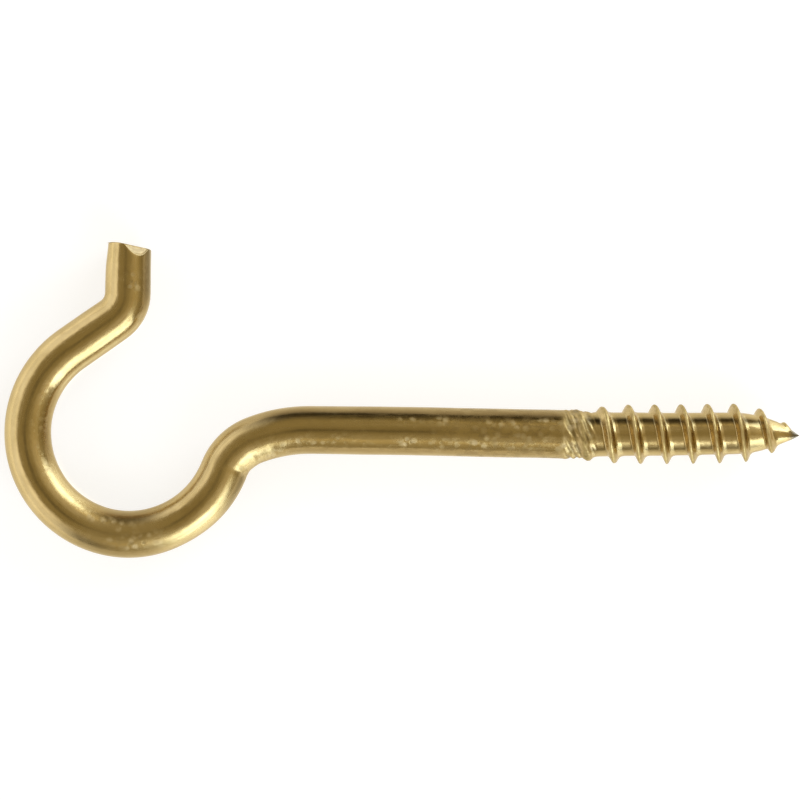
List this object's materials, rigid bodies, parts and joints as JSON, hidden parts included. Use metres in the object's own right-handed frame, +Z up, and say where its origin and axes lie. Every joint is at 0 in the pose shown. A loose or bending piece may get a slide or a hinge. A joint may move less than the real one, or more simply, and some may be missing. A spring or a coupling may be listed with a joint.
{
  "type": "cup hook",
  "caption": "Screw-in cup hook bent from one length of round brass-plated wire, with a round open bowl, an upturned lip and a wood-screw thread with a gimlet point.",
  "frame": {"origin": "middle of the bounding box on the table plane that the hook lies on", "axes": "+X along the screw towards its point, +Y towards the lip, +Z up from the table"},
  "size_m": [0.0648, 0.0258, 0.0049],
  "materials": {
    "brass_plating": "bright brass plating over drawn wire, lightly pitted"
  },
  "bodies": {
    "root": {"hook": "brass_plating"}
  },
  "joints": []
}
